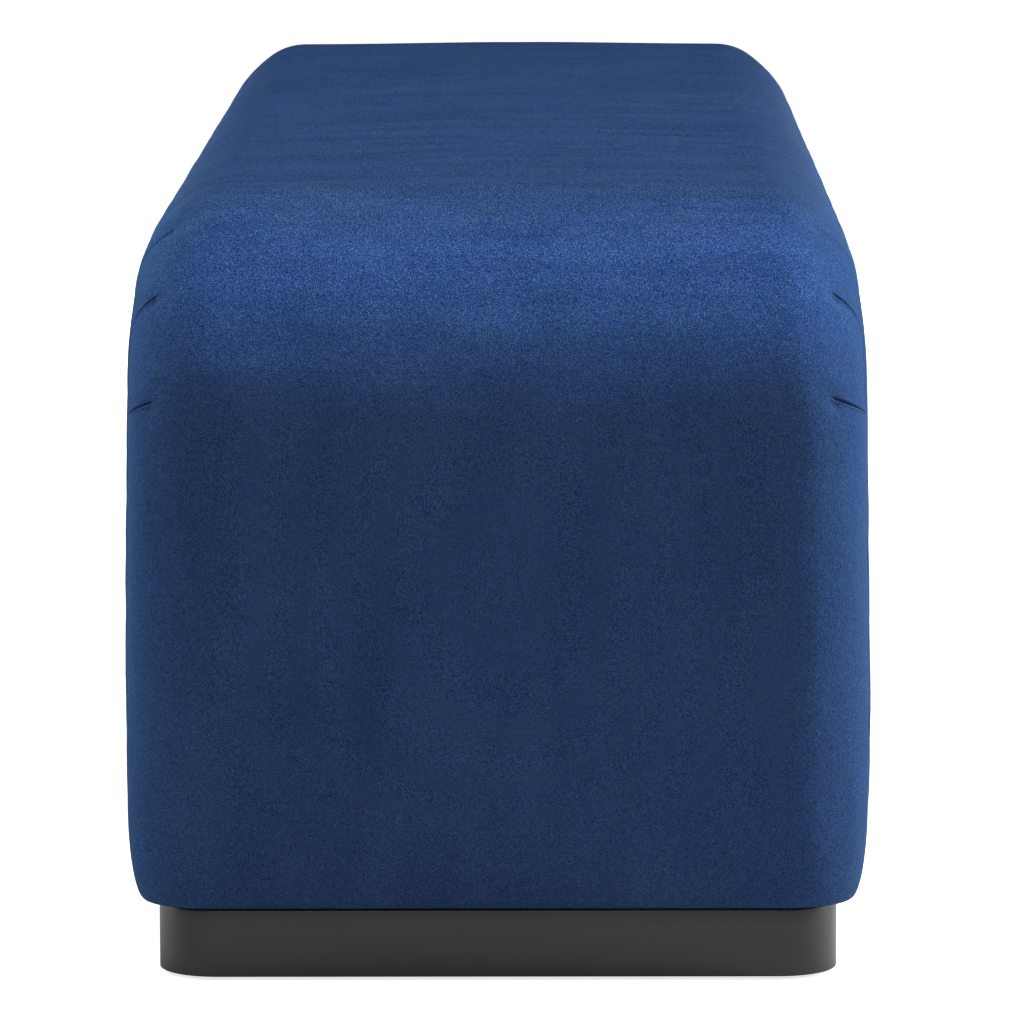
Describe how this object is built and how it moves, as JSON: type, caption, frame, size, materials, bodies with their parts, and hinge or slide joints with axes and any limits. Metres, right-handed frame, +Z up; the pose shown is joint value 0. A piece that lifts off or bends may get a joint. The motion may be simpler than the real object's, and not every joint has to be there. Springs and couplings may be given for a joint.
{
  "type": "upholstered bench",
  "caption": "Long upholstered block bench with rolled top ends and a recessed low plinth.",
  "frame": {"origin": "on the floor, under the centre of the bench", "axes": "+X along the bench, +Y across it, +Z up"},
  "size_m": [1.5, 0.4468, 0.47],
  "materials": {
    "velvet": "matte",
    "fibre": "matte",
    "foam": "matte",
    "plywood": "matte",
    "softwood": "matte",
    "strap": "matte",
    "nonwoven": "matte",
    "satin_black": "satin",
    "steel": "satin",
    "nylon": "satin"
  },
  "bodies": {
    "root": {"cover_wrap": "velvet", "cover_side_front": "velvet", "cover_side_back": "velvet", "wadding": "fibre", "seat_foam": "foam", "end_foam_left": "foam", "end_foam_right": "foam", "side_foam_front": "foam", "side_foam_back": "foam", "deck_cloth": "nonwoven", "dust_cover": "nonwoven", "webbing": "strap", "webbing_clips": "steel", "plinth_bolts": "steel", "plinth_washers": "steel", "tee_nuts": "steel", "frame_screws": "steel", "side_panel_front": "plywood", "side_panel_back": "plywood", "end_panel_left": "plywood", "end_panel_right": "plywood", "end_curve_left": "plywood", "end_curve_right": "plywood", "top_rail_front": "softwood", "top_rail_back": "softwood", "top_end_rail_left": "softwood", "top_end_rail_right": "softwood", "cross_rail_left": "softwood", "cross_rail_middle": "softwood", "cross_rail_right": "softwood", "bottom_rail_front": "softwood", "bottom_rail_back": "softwood", "bottom_end_rail_left": "softwood", "bottom_end_rail_right": "softwood", "floor_rail_left": "softwood", "floor_rail_middle": "softwood", "floor_rail_right": "softwood", "post_front_left": "softwood", "post_front_right": "softwood", "post_back_left": "softwood", "post_back_right": "softwood", "batten_front_left": "softwood", "batten_front_right": "softwood", "batten_back_left": "softwood", "batten_back_right": "softwood", "plinth_rail_front": "softwood", "plinth_rail_back": "softwood", "plinth_end_rail_left": "softwood", "plinth_end_rail_right": "softwood", "plinth_cross_rail_left": "softwood", "plinth_cross_rail_middle": "softwood", "plinth_cross_rail_right": "softwood", "plinth_corner_front_left": "softwood", "plinth_corner_front_right": "softwood", "plinth_corner_back_left": "softwood", "plinth_corner_back_right": "softwood", "plinth_skirt": "satin_black", "glides": "nylon"}
  },
  "joints": []
}
